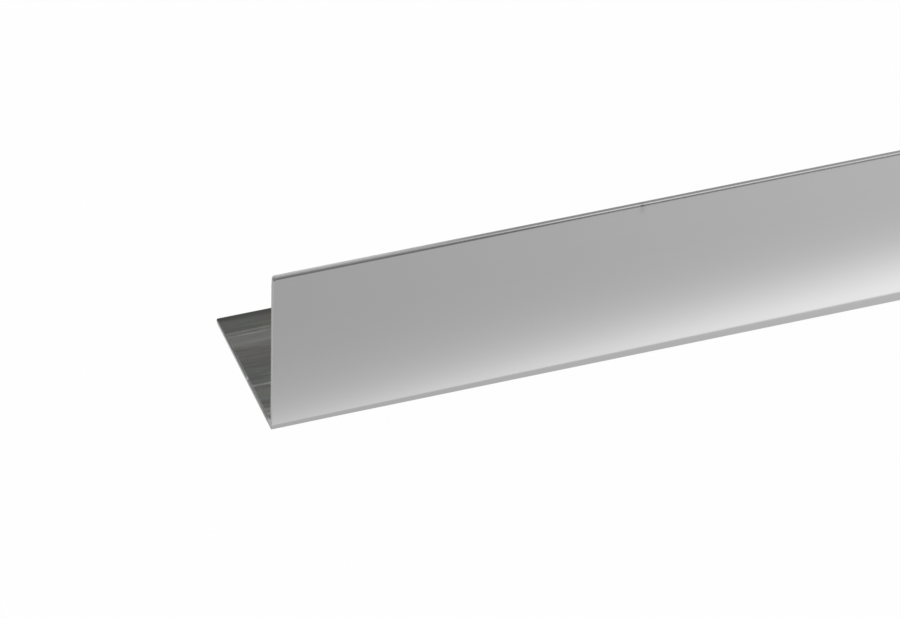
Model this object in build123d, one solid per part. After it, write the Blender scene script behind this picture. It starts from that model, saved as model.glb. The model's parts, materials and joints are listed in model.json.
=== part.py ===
from build123d import *

import os

# An equal angle of extruded aluminium, one bar of it, cut square at both ends.
# It lies on its flat leg with the upright leg in front. X runs along the bar,
# Z is up and -Y is the side that the bright outer face of the upright leg looks to.
# The origin is on the floor, under the middle of the bar's box.

# The bar, in millimetres. Both legs are measured over the outside of the heel.
bar_length = 1000.0
upright_leg = 25.0
flat_leg = 25.0
wall = 1.0

# The edges that the die gives the section.
heel_radius = 0.2
toe_radius = 0.2
root_radius = 0.3

# The four corners of each end are eased with a file after the saw.
filed_corner_radius = 0.35

# A toe carries two rounded edges, so each keeps to less than half of the wall.
toe_edge = min(toe_radius, 0.45 * wall)

front = -flat_leg / 2
back = flat_leg / 2


def section():
    """The L of the extrusion, in the plane across the bar, with its heel at the lower front."""
    corners = [
        ((front, 0), heel_radius),
        ((back, 0), toe_edge),
        ((back, wall), toe_edge),
        ((front + wall, wall), root_radius),
        ((front + wall, upright_leg), toe_edge),
        ((front, upright_leg), toe_edge),
    ]
    points = [point for point, radius in corners]
    radii = [radius for point, radius in corners]
    outline = FilletPolyline(points, radius=radii, close=True)
    return Plane.YZ * make_face(outline)


def extrusion():
    """The section run out to the length of the bar, half of it each way from the middle."""
    return extrude(section(), amount=bar_length / 2, both=True)


def toe_outline(toe, heel, radius):
    """A leg seen square on: its whole length, with the two corners at the toe rounded."""
    half = bar_length / 2
    corners = [(-half, heel), (half, heel), (half, toe), (-half, toe)]
    return make_face(FilletPolyline(corners, radius=[0, 0, radius, radius], close=True))


def upright_envelope():
    """All that the filed corners leave of the upright leg, and the whole depth of the bar."""
    side = Plane.XZ * toe_outline(upright_leg, 0, filed_corner_radius)
    return extrude(side, amount=flat_leg, both=True)


def flat_envelope():
    """All that the filed corners leave of the flat leg, and the whole height of the bar."""
    plan = Plane.XY * toe_outline(back, front, filed_corner_radius)
    return extrude(plan, amount=upright_leg, both=True)


def angle_profile():
    """The finished bar, one solid."""
    return extrusion() & upright_envelope() & flat_envelope()


os.makedirs("parts", exist_ok=True)
export_step(angle_profile(), "parts/angle_profile.step")
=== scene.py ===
import json
import math
import random
from collections import namedtuple

import bpy
from mathutils import Matrix, Vector, noise


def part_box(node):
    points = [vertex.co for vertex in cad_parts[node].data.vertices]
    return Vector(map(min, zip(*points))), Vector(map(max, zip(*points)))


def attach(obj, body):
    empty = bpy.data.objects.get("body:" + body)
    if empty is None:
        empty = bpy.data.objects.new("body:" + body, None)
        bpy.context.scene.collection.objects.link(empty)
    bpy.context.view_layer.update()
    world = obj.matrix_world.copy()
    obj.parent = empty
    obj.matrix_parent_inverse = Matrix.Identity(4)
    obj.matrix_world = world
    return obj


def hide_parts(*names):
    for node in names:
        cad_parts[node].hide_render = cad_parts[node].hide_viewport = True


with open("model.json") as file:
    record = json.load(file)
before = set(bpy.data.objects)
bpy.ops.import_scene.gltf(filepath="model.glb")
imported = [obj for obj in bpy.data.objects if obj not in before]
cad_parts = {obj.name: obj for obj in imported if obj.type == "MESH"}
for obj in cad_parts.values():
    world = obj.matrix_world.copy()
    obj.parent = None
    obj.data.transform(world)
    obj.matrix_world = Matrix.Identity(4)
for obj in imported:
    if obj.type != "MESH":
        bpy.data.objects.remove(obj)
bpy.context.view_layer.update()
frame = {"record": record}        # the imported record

# An aluminium angle on a pale floor, seen from in front of its left end.
# Sizes are in millimetres, but for the lamp and the camera's clip distances, and turn to metres where
# a mesh is made.

MM = 0.001

# The bar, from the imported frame. The wall is the height of the flat leg's upper side.
low, high = (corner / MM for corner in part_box("angle_profile"))
mounts = {mount["name"]: mount for mount in frame["record"]["mounts"]}
wall = mounts["inside_of_flat"]["pos_m"][2] / MM
front, back, top = low.y, high.y, high.z
left_end, right_end = low.x, high.x

# The edges of the section. Each toe is rounder on its inner side, and the flat leg's most of all.
heel_radius = 0.2
outer_arris_radius = 0.31
inner_arris_radius = 0.37
back_arris_radius = 0.46
root_radius = 0.3
arc_steps = 8
side_margin = 0.03
closest_points = 0.001

# What the saw and the file leave at the ends. A cut edge is eased less where it faces down.
cut_edge_radius = 0.15
underside_share = 0.3
facing_down = -0.9
filed_corner_radius = 0.35
back_corner_share = 0.3

# The file reaches this far in from a toe, and works fully past the fade.
filed_depth = 1.6
filed_fade = 0.9

# The left cut is a little off square, and its top leans in a little more.
saw_lean = 0.52
saw_lean_reach = 10.0
top_lean = 0.06
top_lean_reach = 2.0

# The burr of the left cut: along the underside, where it grows towards the heel, and at the back corner.
# Its reach is both up from the underside and along the bar.
burr = 0.12
burr_reach = 0.9
burr_at_back = 0.4
toe_burr = 0.2
toe_burr_reach = 2.5

# Die lines: fine furrows that the die draws along the inside of the angle.
die_line_pitch = 0.9
die_line_depth = 0.003
die_line_margin = 0.4
half_width_range = (0.06, 0.2)
depth_range = (0.2, 1.0)
seed_range = (0, 500)
pitch_range = (0.5, 1.5)

# A furrow's four points: how many half widths from its middle, and the share of its depth.
furrow_points = ((-1, 0.0), (-0.35, 1.0), (0.35, 1.0), (1, 0.0))

# A die line comes and goes: the waves in a millimetre, its mean strength and how far that swings.
die_line_waves = 0.012
die_line_strength = 0.62
die_line_swing = 1.3

# Small knocks on the outer arris of the upright leg, placed from the left end.
# The rows are points of the section below that arris, which the knocks dent.
Knock = namedtuple("Knock", "place reach depth")
knocks = [
    Knock(51.9, 0.22, 0.04),
    Knock(212.0, 0.35, 0.06),
    Knock(371.5, 0.18, 0.08),
    Knock(640.0, 0.3, 0.07),
    Knock(815.0, 0.2, 0.09),
]
knock_rows = (0.09, 0.16, 0.26, 0.4, 0.6, 0.9)

# Stations: where along the bar the section is repeated. They are close together near the left end,
# where the camera is, and round the knocks.
edge_angles = range(15, 91, 15)
near_start = 0.6
near_step = 0.4
near_growth = 0.04
near_count = 70
middle_steps = 60
far_stations = (0.6, 1, 1.5, 3, 6, 12, 24)
knock_steps = range(-8, 9)
steps_in_reach = 3

# The camera: a long lens in front of the left end, which it sees at a known place in the picture.
# Its clip distances are in metres.
picture_width, picture_height = 900, 619
heel_in_picture = (272.45, 429.85)
camera_azimuth = -18.63
camera_elevation = 36.93
sensor_width = 36.0
lens = 296.0
camera_distance = 988.0
clip_start, clip_end = 0.01, 200.0

# The finishes, in the order of the bar's material slots.
BRIGHT, INSIDE, TOE, SAWN = range(4)

random.seed(41)

# A point of the outline: its place, the way its side faces, its finish, and its furrow if it has one.
OutlinePoint = namedtuple("OutlinePoint", "place normal finish furrow")


# Section

def arc(centre, radius, start_ray, end_ray, finish, hollow=False):
    """A quarter turn of the section from one ray to the next, seen from its centre."""
    points = []
    for step in range(arc_steps + 1):
        angle = math.pi / 2 * step / arc_steps
        ray = start_ray * math.cos(angle) + end_ray * math.sin(angle)
        points.append(OutlinePoint(centre + ray * radius, -ray if hollow else ray, finish, None))
    return points


def toe(corner, along, outward, radii, finishes):
    """The free edge of a leg: an arris, a flat and another arris."""
    first, second = radii
    turn_in = corner + along * first - outward * first
    turn_out = corner + along * (wall - second) - outward * second
    return (
        arc(turn_in, first, -along, outward, finishes[0])
        + arc(turn_out, second, outward, along, finishes[1])
    )


def plain_run(start, end, outward, finish, rows=()):
    """A flat side of the section. Rows are extra points, so far from its start."""
    length = (end - start).length
    along = (end - start) / length
    places = [0.0, side_margin, *rows, length - side_margin, length]
    return [OutlinePoint(start + along * s, outward, finish, None) for s in places]


def lined_run(start, end, outward, finish):
    """A flat side with die lines, each a furrow of four points."""
    length = (end - start).length
    along = (end - start) / length
    points = []
    place = die_line_margin
    while place < length - die_line_margin:
        half_width = random.uniform(*half_width_range)
        depth = die_line_depth * random.uniform(*depth_range)
        line = {"depth": depth, "seed": random.uniform(*seed_range)}
        for offset, share in furrow_points:
            spot = start + along * (place + half_width * offset)
            points.append(OutlinePoint(spot, outward, finish, (line, share)))
        place += die_line_pitch * random.uniform(*pitch_range)
    ends = plain_run(start, end, outward, finish)
    return ends[:2] + points + ends[2:]


def section():
    """The outline, from the heel along the underside and round."""
    def at(y, z):
        return Vector((y, z))

    down, up, forward, backward = at(0, -1), at(0, 1), at(-1, 0), at(1, 0)
    inner = front + wall
    root = at(inner + root_radius, wall + root_radius)
    inner_r, outer_r = inner_arris_radius, outer_arris_radius
    outline = (
        plain_run(at(front + heel_radius, 0), at(back - outer_r, 0), down, BRIGHT)
        + toe(at(back, 0), up, backward, (outer_r, back_arris_radius), (BRIGHT, INSIDE))
        + lined_run(at(back - back_arris_radius, wall), at(root.x, wall), up, INSIDE)
        + arc(root, root_radius, down, forward, INSIDE, hollow=True)
        + lined_run(at(inner, root.y), at(inner, top - inner_r), backward, INSIDE)
        + toe(at(inner, top), forward, up, (inner_r, outer_r), (TOE, TOE))
        + plain_run(at(front, top - outer_r), at(front, heel_radius), forward, BRIGHT, knock_rows)
        + arc(at(front + heel_radius, heel_radius), heel_radius, forward, down, BRIGHT)
    )
    return [
        point for point, following in zip(outline, outline[1:] + outline[:1])
        if (point.place - following.place).length > closest_points
    ]


# Bar

def stations():
    """Places along the bar where the section is repeated, close together at the ends and the knocks."""
    turns = [1 - math.cos(math.radians(angle)) for angle in edge_angles]
    edges = [cut_edge_radius * turn for turn in turns]
    corners = [filed_corner_radius * turn for turn in turns]
    ends = sorted({0.0, *edges, *corners})
    growing = [near_start + near_step * k * (1 + near_growth * k) for k in range(near_count)]
    near = [left_end + place for place in ends + growing]
    far = [right_end - place for place in [*ends, *far_stations]]
    start, end = max(near), min(far)
    middle = [start + (end - start) * k / middle_steps for k in range(1, middle_steps)]
    dents = [
        left_end + knock.place + knock.reach * k / steps_in_reach
        for knock in knocks for k in knock_steps
    ]
    return sorted(near + middle + dents + far)


def rounded_inset(radius, from_end):
    """How far a round edge of this radius has drawn back, so far from where it ends."""
    gap = max(0.0, radius - from_end)
    return radius - math.sqrt(radius ** 2 - gap ** 2)


def filed_share(place):
    """1 at a toe, where the file reaches, and 0 on the rest of the section."""
    past_toe = max(place.x - back, place.y - top)
    return min(1.0, max(0.0, (past_toe + filed_depth) / filed_fade))


def line_strength(line, x):
    """A die line comes and goes along the bar."""
    wave = noise.noise(Vector((x * die_line_waves, line["seed"], 0.0)))
    return min(1.0, max(0.0, die_line_strength + die_line_swing * wave))


def burr_at(place):
    """How far the saw's burr stands out of the left cut here."""
    low_down = max(0.0, 1 - place.y / burr_reach)
    to_heel = (back - place.x) / (back - front)
    at_back = max(0.0, 1 - (back - place.x) / toe_burr_reach)
    along_underside = burr * low_down * (burr_at_back + to_heel)
    return along_underside + toe_burr * at_back * min(1.0, place.y / wall)


def lean_at(place, from_cut):
    """How far the left cut leans in here, so far from it along the bar."""
    fading = max(0.0, 1 - from_cut / saw_lean_reach) ** 2
    near_top = max(0.0, 1 - (top - place.y) / top_lean_reach) ** 2
    return fading * (saw_lean * place.y / top + top_lean * near_top)


def knock_depth(point, x):
    """How deep the knocks are here. They fade out round the outer arris of the upright leg."""
    from_arris = (point.place - Vector((front, top))).length
    depth = 0.0
    for knock in knocks:
        from_knock = math.hypot(x - left_end - knock.place, from_arris)
        depth += knock.depth * math.exp(-(from_knock / knock.reach) ** 2)
    return depth


def section_at(outline, x):
    """The section's points at one station."""
    from_end = min(x - left_end, right_end - x)
    corner = rounded_inset(filed_corner_radius, from_end)
    edge = rounded_inset(cut_edge_radius, from_end)
    on_burr = max(0.0, 1 - (x - left_end) / burr_reach)
    ring = []
    for point in outline:
        place, normal = point.place, point.normal
        eased = edge * (underside_share if normal.y < facing_down else 1.0)
        sunk = eased + knock_depth(point, x)
        if point.furrow:
            line, share = point.furrow
            sunk += line["depth"] * share * line_strength(line, x)
        spot = place - normal * sunk
        on_upright = place.y - top > place.x - back
        drawn_back = corner * filed_share(place) * (1.0 if on_upright else back_corner_share)
        spot -= Vector((0, drawn_back)) if on_upright else Vector((drawn_back, 0))
        ring.append((x + lean_at(place, x - left_end) - on_burr * burr_at(place), spot.x, spot.y))
    return ring


def angle_skin():
    """The bar as one mesh: the outline run through every station, and a face at each end."""
    outline = section()
    xs = stations()
    count = len(outline)
    vertices = []
    for x in xs:
        vertices += [tuple(c * MM for c in spot) for spot in section_at(outline, x)]
    last_ring = (len(xs) - 1) * count
    faces, finishes = [], []
    for row in range(0, last_ring, count):
        for j in range(count):
            k = (j + 1) % count
            faces.append((row + j, row + k, row + count + k, row + count + j))
            finishes.append(outline[j].finish)
    faces.append(tuple(reversed(range(count))))
    faces.append(tuple(range(last_ring, last_ring + count)))
    finishes += [SAWN, SAWN]
    mesh = bpy.data.meshes.new("angle_bar")
    mesh.from_pydata(vertices, [], faces)
    for polygon, finish in zip(mesh.polygons, finishes):
        polygon.material_index = finish
        polygon.use_smooth = finish != SAWN
    mesh.validate()
    mesh.update()
    bar = bpy.data.objects.new("angle_bar", mesh)
    bpy.context.scene.collection.objects.link(bar)
    return bar


# Arithmetic in node trees

class Value:
    """A number in a node tree. Arithmetic on it adds maths nodes to the tree."""

    def __init__(self, tree, socket):
        self.tree = tree
        self.socket = socket

    def step(self, operation, *others):
        """This value and the others through one maths node."""
        node = self.tree.nodes.new("ShaderNodeMath")
        node.operation = operation
        for slot, value in zip(node.inputs, (self,) + others):
            if isinstance(value, Value):
                self.tree.links.new(value.socket, slot)
            else:
                slot.default_value = value
        return Value(self.tree, node.outputs[0])

    def __add__(self, other):
        return self.step("ADD", other)

    def __sub__(self, other):
        return self.step("SUBTRACT", other)

    def __rsub__(self, other):
        return self * -1.0 + other

    def __mul__(self, other):
        return self.step("MULTIPLY", other)

    def __truediv__(self, other):
        return self.step("DIVIDE", other)

    def __pow__(self, other):
        return self.step("POWER", other)

    def over(self, edge):
        """1 above the edge and 0 below it."""
        return self.step("GREATER_THAN", edge)

    def between(self, lowest, highest):
        """The value, kept within two limits."""
        return self.step("MAXIMUM", lowest).step("MINIMUM", highest)

    def rise(self, start, end):
        """0 up to the start and 1 from the end on, with a smooth way between."""
        node = self.tree.nodes.new("ShaderNodeMapRange")
        node.interpolation_type = "SMOOTHSTEP"
        node.inputs["From Min"].default_value = start
        node.inputs["From Max"].default_value = end
        self.tree.links.new(self.socket, node.inputs["Value"])
        return Value(self.tree, node.outputs["Result"])

    def within(self, rise_start, rise_end, fall_start, fall_end):
        """0 on both sides and 1 between, with a smooth way up and down."""
        return self.rise(rise_start, rise_end) * (1.0 - self.rise(fall_start, fall_end))

    def hump(self, middle, width):
        """1 at the middle, falling smoothly to 0 on both sides, and about 0.6 at the width."""
        reach = (self - middle) * (1 / width)
        return (reach * reach * -0.5).step("EXPONENT")

    def blend(self, start, end):
        """The start where this value is 0, the end where it is 1, and evenly between and past them."""
        return self * (end - start) + start


def place_in(tree):
    """The point being shaded: its X, Y and Z in millimetres."""
    source = tree.nodes.new("ShaderNodeTexCoord")
    parts = tree.nodes.new("ShaderNodeSeparateXYZ")
    tree.links.new(source.outputs["Object"], parts.inputs["Vector"])
    return [Value(tree, parts.outputs[axis]) * (1 / MM) for axis in "XYZ"]


def lined_noise(tree, across, along, detail=3.0, seed=0.0):
    """Noise of about -1 to 1, with so many cycles a metre across and along the bar.

    Each seed gives another stretch of it.
    """
    source = tree.nodes.new("ShaderNodeTexCoord")
    mapping = tree.nodes.new("ShaderNodeMapping")
    mapping.inputs["Scale"].default_value = (along, across, across)
    mapping.inputs["Location"].default_value = (seed, seed, seed)
    texture = tree.nodes.new("ShaderNodeTexNoise")
    texture.inputs["Scale"].default_value = 1.0
    texture.inputs["Detail"].default_value = detail
    tree.links.new(source.outputs["Object"], mapping.inputs["Vector"])
    tree.links.new(mapping.outputs["Vector"], texture.inputs["Vector"])
    middle, spread = 0.5, 4.0
    return (Value(tree, texture.outputs["Fac"]) - middle) * spread


def colour(tree, tone, tint=(0.0, 0.0, 0.0)):
    """A grey of this tone, with each of red, green and blue a little more or less of it."""
    node = tree.nodes.new("ShaderNodeCombineColor")
    for name, share in zip(("Red", "Green", "Blue"), tint):
        tree.links.new((tone * (share + 1.0)).socket, node.inputs[name])
    return node.outputs["Color"]


def start_metal(name):
    """A new metal: the material, its node tree and its Principled shader."""
    material = bpy.data.materials.new(name)
    material.use_nodes = True
    tree = material.node_tree
    tree.nodes.clear()
    shader = tree.nodes.new("ShaderNodeBsdfPrincipled")
    output = tree.nodes.new("ShaderNodeOutputMaterial")
    tree.links.new(shader.outputs["BSDF"], output.inputs["Surface"])
    shader.inputs["Metallic"].default_value = 1.0
    return material, tree, shader


def set_surface(tree, shader, base_colour, roughness):
    """Give a metal its colour and its roughness."""
    tree.links.new(base_colour, shader.inputs["Base Color"])
    tree.links.new(roughness.socket, shader.inputs["Roughness"])


def add_bump(tree, shader, height):
    """Fine relief under the light. The height is in millimetres."""
    node = tree.nodes.new("ShaderNodeBump")
    node.inputs["Distance"].default_value = MM
    tree.links.new(height.socket, node.inputs["Height"])
    tree.links.new(node.outputs["Normal"], shader.inputs["Normal"])


# Bright finish

bright_tone = 0.84
bright_roughness = 0.13

# How far the faintest lines change the tone and the roughness.
bright_line_tone = 0.004
bright_line_roughness = 0.01

# Painted shade in the dent of the first knock, just below the toe.
dent_place = left_end + 52.1
dent_shade_height = top - 0.75
dent_shade_half_width = 0.25
dent_shade_half_height = 0.4
dent_shade_strength = 0.12


def bright_finish():
    """The outside of the bar as it leaves the die: bright and smooth, with the faintest lines."""
    material, tree, shader = start_metal("aluminium_bright")
    x, y, z = place_in(tree)
    lines = lined_noise(tree, across=900, along=3.0)
    # Painted shade in the dent of the first knock.
    dent_shade = x.hump(dent_place, dent_shade_half_width) * z.hump(dent_shade_height, dent_shade_half_height)
    tone = lines * bright_line_tone + bright_tone - dent_shade * dent_shade_strength
    roughness = lines * bright_line_roughness + bright_roughness
    set_surface(tree, shader, colour(tree, tone), roughness)
    return material


# Inside finish

# The inside is painted far darker than the outside: painted shade for the dark that it mirrors.
inside_tone = 0.365
inside_tint = (0.01, 0.015, -0.035)
inside_roughness = 0.17
roughness_from_tone = 0.25

# Streaks along both legs: how far from the root, how wide and how strong. The bands are painted light
# and shade, the pale ones and the root painted highlights; the broken lines are die lines, painted with
# the light they catch.
Streak = namedtuple("Streak", "middle width strength")
painted_bands = {
    "dark margin by the toe": Streak(23.3, 0.5, -0.30),
    "pale band": Streak(18.0, 1.1, 0.38),
    "edge of the pale band": Streak(17.0, 0.35, 0.18),
    "pale stretch near the root": Streak(5.9, 1.2, 0.16),
    "dark line near the root": Streak(4.0, 0.35, -0.10),
    "root": Streak(1.9, 0.9, 0.28),
}
broken_lines = {
    "line over the pale band": Streak(19.75, 0.12, 0.42),
    "line in the pale band": Streak(19.0, 0.13, 0.50),
    "line beside the middle": Streak(9.8, 0.14, 0.22),
    "line in the middle": Streak(7.8, 0.14, 0.85),
    "first line by the root": Streak(3.35, 0.16, 0.30),
    "second line by the root": Streak(2.4, 0.18, 0.75),
    "third line by the root": Streak(1.4, 0.2, 0.85),
}

# How far a streak wanders from its line, and the mean and the most of a broken line.
wander_reach = 0.25
break_mean = 0.75
break_most = 1.5

# Unevenness of the tone, and of each colour in it.
grain_strength = 0.13
stain_strength = 0.04
stain_seeds = (11.0, 17.0, 23.0)


def streaked_tone(tree, from_root):
    """The tone of the inside, as a share of its mean."""
    tone = lined_noise(tree, across=450, along=70, seed=3.0) * grain_strength + 1.0
    tone = tone + lined_noise(tree, across=2400, along=160, seed=5.0) * grain_strength
    for band in painted_bands.values():
        tone = tone + from_root.hump(band.middle, band.width) * band.strength
    gaps = lined_noise(tree, across=300, along=260, seed=7.0)
    breaks = (gaps + break_mean).between(0.0, break_most)
    for line in broken_lines.values():
        tone = tone + from_root.hump(line.middle, line.width) * breaks * line.strength
    return tone


def inside_finish():
    """The inside of the angle: duller and painted darker, with streaks alike on both legs, partly die
    lines and partly painted light.
    """
    material, tree, shader = start_metal("aluminium_inside")
    x, y, z = place_in(tree)
    wander = lined_noise(tree, across=60, along=160, detail=2.0)
    from_root = (y - (front + wall)) + (z - wall) + wander * wander_reach
    tone = streaked_tone(tree, from_root) * inside_tone
    stains = [lined_noise(tree, across=260, along=170, detail=1.0, seed=seed) for seed in stain_seeds]
    tint = [stain * stain_strength + lean for stain, lean in zip(stains, inside_tint)]
    roughness = tone * roughness_from_tone + inside_roughness
    set_surface(tree, shader, colour(tree, tone, tint), roughness)
    return material


# Toe finish

toe_tone = 0.84
toe_roughness = 0.29
toe_line_tone = 0.01

# The toe changes along the bar over these stretches, measured from the left end.
rubbed_stretch = (13, 36)
near_end_shade_stretch = (16, 50)
further_stretch = (60, 90)

# What being rubbed adds near the left end, and what the last stretch adds to the roughness.
rubbed_tone = 0.15
rubbed_roughness = 0.35
further_roughness = 0.06

# The toe is painted darker towards its outer side, as painted shade on the arris. It does so between
# these two sums of the depth behind the front and the height over the top.
outer_side_turn = (0.68, -0.1)
painted_outer_shade = 0.13
painted_near_end_shade = 0.41
painted_rubbed_end_shade = 0.06

# The painted shade of the dent where the first knock is.
nick_width = 0.28
nick_shade = 0.2


def past(x, stretch):
    """0 before a stretch of the bar and 1 past it."""
    start, end = stretch
    return x.rise(left_end + start, left_end + end)


def toe_finish():
    """The upright leg's toe: rubbed dull near the left end and bright further along, with painted shade
    on its outer side.
    """
    material, tree, shader = start_metal("aluminium_toe")
    x, y, z = place_in(tree)
    rubbed = 1.0 - past(x, rubbed_stretch)
    near_end_shade = 1.0 - past(x, near_end_shade_stretch)
    outer_side = ((y - front) + (z - top)).rise(*outer_side_turn)
    lines = lined_noise(tree, across=2000, along=30)
    nick = x.hump(dent_place, nick_width)
    # The painted shade of the toe's outer side: deepest near the left end, and at the first knock's
    # dent.
    shade = near_end_shade * painted_near_end_shade + rubbed * painted_rubbed_end_shade + nick * nick_shade + painted_outer_shade
    tone = rubbed * rubbed_tone + toe_tone - outer_side * shade + lines * toe_line_tone
    further_on = past(x, further_stretch) * further_roughness
    roughness = rubbed * rubbed_roughness + further_on + toe_roughness
    set_surface(tree, shader, colour(tree, tone), roughness)
    return material


# Sawn finish

sawn_tone = 0.93
sawn_roughness = 0.42
grain_tone = 0.03
grain_roughness = 0.05
grain_relief = 0.004

# The flat leg's cut end is painted dark over a pale lower edge, which thins towards the heel: painted
# shade, with the pale edge a painted reflection of the floor below. The heel is pale.
painted_flat_shade = 0.69
pale_edge_slope = 0.009
pale_edge_heights = (0.12, 1.05)
heel_widths = (1.2, 2.4)

# The upright leg's cut end has a little painted shade above these heights.
painted_upright_shade = 0.18
upright_heights = (3.0, 7.0)

# A pale fleck on the cut end of the flat leg.
fleck_place = front + 11.15
fleck_height = 0.6
fleck_width = 0.2
fleck_tone = 0.5


def sawn_finish():
    """The cut ends: matt, with the fine grain that the saw leaves."""
    material, tree, shader = start_metal("aluminium_sawn")
    grain = lined_noise(tree, across=2200, along=2200, detail=4.0)
    x, y, z = place_in(tree)
    off_heel = y.rise(*(front + width for width in heel_widths))
    over_edge = (z + y * -pale_edge_slope + back * pale_edge_slope).rise(*pale_edge_heights)
    fleck = y.hump(fleck_place, fleck_width) * z.hump(fleck_height, fleck_width)
    # Painted shade on the cut ends, paler low down by the floor.
    tone = over_edge * off_heel * -painted_flat_shade + sawn_tone
    tone = tone - z.rise(*upright_heights) * painted_upright_shade + fleck * fleck_tone + grain * grain_tone
    set_surface(tree, shader, colour(tree, tone), grain * grain_roughness + sawn_roughness)
    add_bump(tree, shader, grain * grain_relief)
    return material


# Studio

# The strength of the soft light from all round.
world_light = 0.55

# The floor that the camera sees, just under the bar. It glows, and its matt share takes the soft shadow.
floor_height = -0.01
floor_half_width = 60000.0
floor_glow = 0.93
floor_grey = 0.9

# The cards that only the metal sees, glowing with painted light and shade: one over the floor, one
# behind and one in front.
# Angles are degrees over the bar, and stretches are places on the X axis.
floor_card_height = -0.005
card_distance = 3000.0
card_half_width = 30000.0
back_card_top = 82
front_card_top = 85

# The floor card in front of the bar, at the bar's left end and at the end of the length that is shown.
# The changes go on past that length, as far as the furthest share of it.
shown_length = 83.0
furthest_share = 1.6
strip_width = (0.92, 1.85)
strip_tone = (0.465, 0.535)
grey_tone = (0.395, 0.503)
pool_tone = (0.31, 0.454)
pool_width = (4.65, 9.63)
pool_fade = (0.83, 2.0)
pool_end = 1000.0

# The floor card behind the bar's front: white, but grey from just before each end of the bar, and
# paler with its depth behind the front.
beside_distances = (-9, -1)
beside_tones = (0.40, 0.52)
beside_depths = (2, 8)

# The card behind: dark on the left and paler on the right, with a painted glare low down.
back_tones = (0.25, 0.75)
back_change = (1300, 2200)
glare_stretch = (-600, 300, 1700, 2600)
glare_angles = (0, 21)
glare_strength = 0.85
back_lift_angles = (48, 76)

# The card in front: grey, with a dark stretch that reaches nearly to the top.
front_tones = (0.60, 0.11)
dark_stretch = (-1200, -500, 750, 1650)
front_lift_angles = (71, 76)

# Both standing cards get this much nearer to white at their tops.
top_lift = 0.78

# The key lamp, in metres and watts.
key_place = (-1.6, -1.2, 2.4)
key_size = 1.2
key_power = 60.0


def seen_directly(tree):
    """1 for a ray from the camera, metal or glass, and 0 for the light that falls on things."""
    path = tree.nodes.new("ShaderNodeLightPath")
    camera_ray = Value(tree, path.outputs["Is Camera Ray"])
    glossy_ray = Value(tree, path.outputs["Is Glossy Ray"])
    sent_on_ray = Value(tree, path.outputs["Is Transmission Ray"])
    return camera_ray.step("MAXIMUM", glossy_ray).step("MAXIMUM", sent_on_ray)


def white_world():
    """A white background where it is seen, and a soft light from all round."""
    world = bpy.data.worlds.new("studio")
    bpy.context.scene.world = world
    world.use_nodes = True
    tree = world.node_tree
    tree.nodes.clear()
    output = tree.nodes.new("ShaderNodeOutputWorld")
    mix = tree.nodes.new("ShaderNodeMixShader")
    light = tree.nodes.new("ShaderNodeBackground")
    white = tree.nodes.new("ShaderNodeBackground")
    light.inputs["Strength"].default_value = world_light
    white.inputs["Strength"].default_value = 1.0
    tree.links.new(seen_directly(tree).socket, mix.inputs["Fac"])
    tree.links.new(light.outputs["Background"], mix.inputs[1])
    tree.links.new(white.outputs["Background"], mix.inputs[2])
    tree.links.new(mix.outputs["Shader"], output.inputs["Surface"])


def sheet(name, corners):
    """A flat stage surface with its corners in millimetres, and an empty node tree for it."""
    mesh = bpy.data.meshes.new(name)
    mesh.from_pydata([tuple(c * MM for c in corner) for corner in corners], [], [(0, 1, 2, 3)])
    surface = bpy.data.objects.new(name, mesh)
    bpy.context.scene.collection.objects.link(surface)
    material = bpy.data.materials.new(name + "_surface")
    material.use_nodes = True
    material.node_tree.nodes.clear()
    mesh.materials.append(material)
    return surface, material.node_tree


def level_corners(wide, deep, height):
    """The corners of a level rectangle over the origin."""
    return [
        (-wide, -deep, height),
        (wide, -deep, height),
        (wide, deep, height),
        (-wide, deep, height),
    ]


def standing_corners(y, top_angle):
    """The corners of an upright rectangle across the set, up to this many degrees over the bar."""
    height = card_distance * math.tan(math.radians(top_angle))
    wide = card_half_width
    return [(-wide, y, 0), (wide, y, 0), (wide, y, height), (-wide, y, height)]


def floor():
    """A pale floor, white to the eye but for the soft shadow of the bar."""
    surface, tree = sheet("floor", level_corners(floor_half_width, floor_half_width, floor_height))
    output = tree.nodes.new("ShaderNodeOutputMaterial")
    mix = tree.nodes.new("ShaderNodeMixShader")
    matt = tree.nodes.new("ShaderNodeBsdfDiffuse")
    matt.inputs["Color"].default_value = (floor_grey, floor_grey, floor_grey, 1.0)
    white = tree.nodes.new("ShaderNodeEmission")
    white.inputs["Strength"].default_value = 1.0
    tree.links.new((seen_directly(tree) * floor_glow).socket, mix.inputs["Fac"])
    tree.links.new(matt.outputs["BSDF"], mix.inputs[1])
    tree.links.new(white.outputs["Emission"], mix.inputs[2])
    tree.links.new(mix.outputs["Shader"], output.inputs["Surface"])


def card(name, corners, tone_of):
    """A card round the set, which only the metal sees. It glows with painted light and shade, worked out
    from the place on it.
    """
    surface, tree = sheet(name, corners)
    surface.visible_camera = False
    surface.visible_diffuse = False
    surface.visible_shadow = False
    output = tree.nodes.new("ShaderNodeOutputMaterial")
    glow = tree.nodes.new("ShaderNodeEmission")
    tree.links.new(colour(tree, tone_of(*place_in(tree))), glow.inputs["Color"])
    tree.links.new(glow.outputs["Emission"], output.inputs["Surface"])


def tone_ahead(x, ahead):
    """The floor that the outer face sees: a thin strip, then a painted pool of light that fades to grey.

    Each value changes evenly along the bar, from the left end to a little past the length that is shown.
    """
    share = ((x - left_end) * (1 / shown_length)).between(0.0, furthest_share)
    reach = ahead.between(0.0, pool_end) / share.blend(*pool_width)
    fading = (reach ** share.blend(*pool_fade) * -1.0).step("EXPONENT")
    past_strip = ahead.over(share.blend(*strip_width))
    lit_grey = share.blend(*grey_tone) + fading * share.blend(*pool_tone)
    return past_strip.blend(share.blend(*strip_tone), lit_grey)


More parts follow.
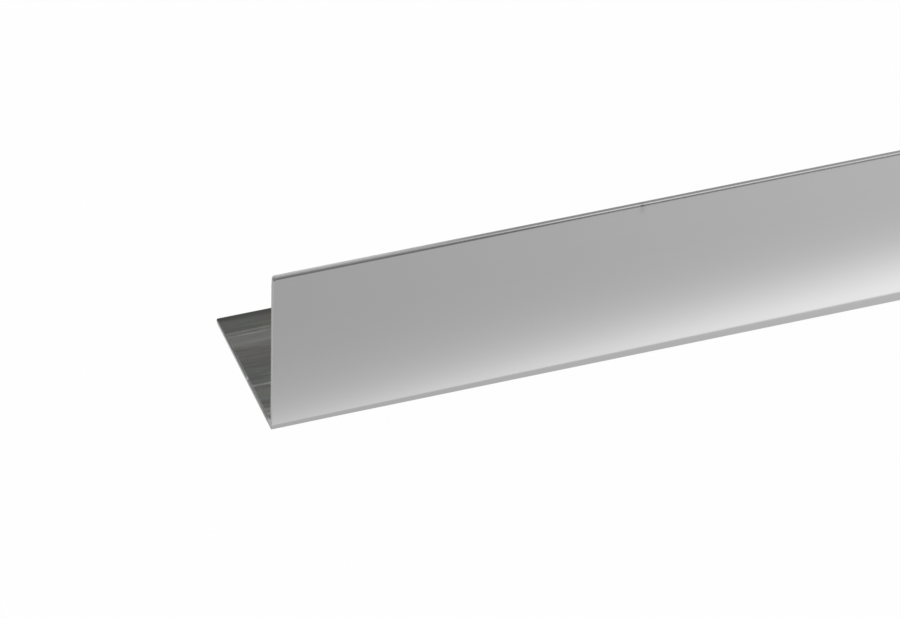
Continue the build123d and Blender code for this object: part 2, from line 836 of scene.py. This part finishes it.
def tone_behind(x, y):
    """The floor behind the outer face: white along the bar, and grey beside its two ends."""
    beside_end = x.step("ABSOLUTE").rise(*(right_end + distance for distance in beside_distances))
    grey = y.rise(*(front + depth for depth in beside_depths)).blend(*beside_tones)
    return beside_end.blend(1.0, grey)


def floor_card_tone(x, y, z):
    """The floor, in front of the outer face and behind it."""
    ahead = front - y
    return ahead.over(0.0).blend(tone_behind(x, y), tone_ahead(x, ahead))


def height_angle(z):
    """How high a place on a standing card is over the bar, in degrees."""
    return (z * (1 / card_distance)).step("ARCTANGENT") * math.degrees(1)


def back_card_tone(x, y, z):
    """Behind: dark on the left and paler on the right, with a painted glare low down."""
    angle = height_angle(z)
    low_tone = x.rise(*back_change).blend(*back_tones)
    glare = x.within(*glare_stretch) * (1.0 - angle.rise(*glare_angles))
    lift = angle.rise(*back_lift_angles) * top_lift + glare * glare_strength
    return lift.blend(low_tone, 1.0)


def front_card_tone(x, y, z):
    """In front: grey, with a dark stretch that reaches nearly to the top."""
    low_tone = x.within(*dark_stretch).blend(*front_tones)
    lift = height_angle(z).rise(*front_lift_angles) * top_lift
    return lift.blend(low_tone, 1.0)


def cards():
    """What the metal sees round it: a floor, and two standing cards with white overhead."""
    level = level_corners(card_half_width, card_distance, floor_card_height)
    card("floor_card", level, floor_card_tone)
    card("back_card", standing_corners(card_distance, back_card_top), back_card_tone)
    card("front_card", standing_corners(-card_distance, front_card_top), front_card_tone)


def key_lamp():
    """A large square lamp that looks at the bar. The metal doesn't mirror it."""
    lamp = bpy.data.lights.new("key", "AREA")
    lamp.shape = "SQUARE"
    lamp.size = key_size
    lamp.energy = key_power
    holder = bpy.data.objects.new("key", lamp)
    holder.location = key_place
    holder.rotation_mode = "QUATERNION"
    holder.rotation_quaternion = Vector(key_place).to_track_quat("Z", "Y")
    holder.visible_glossy = False
    bpy.context.scene.collection.objects.link(holder)


def camera():
    """The long lens, put where the heel of the left end falls on its place in the picture."""
    azimuth, elevation = math.radians(camera_azimuth), math.radians(camera_elevation)
    backward = Vector((
        math.sin(azimuth) * math.cos(elevation),
        -math.cos(azimuth) * math.cos(elevation),
        math.sin(elevation),
    ))
    right = Vector((math.cos(azimuth), math.sin(azimuth), 0))
    up = backward.cross(right)
    pixel = sensor_width / lens / picture_width * camera_distance
    across = (heel_in_picture[0] - picture_width / 2) * pixel
    above = (picture_height / 2 - heel_in_picture[1]) * pixel
    heel = Vector((left_end, front, 0))
    data = bpy.data.cameras.new("camera")
    data.lens = lens
    data.sensor_width = sensor_width
    data.clip_start = clip_start
    data.clip_end = clip_end
    holder = bpy.data.objects.new("camera", data)
    holder.location = (heel - right * across - up * above + backward * camera_distance) * MM
    holder.rotation_mode = "QUATERNION"
    holder.rotation_quaternion = Matrix((right, up, backward)).transposed().to_quaternion()
    bpy.context.scene.collection.objects.link(holder)
    bpy.context.scene.camera = holder


bpy.context.scene.view_settings.view_transform = "Standard"
camera()
bar = angle_skin()
for finish in (bright_finish(), inside_finish(), toe_finish(), sawn_finish()):
    bar.data.materials.append(finish)
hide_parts("angle_profile")
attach(bar, "root")
white_world()
floor()
cards()
key_lamp()
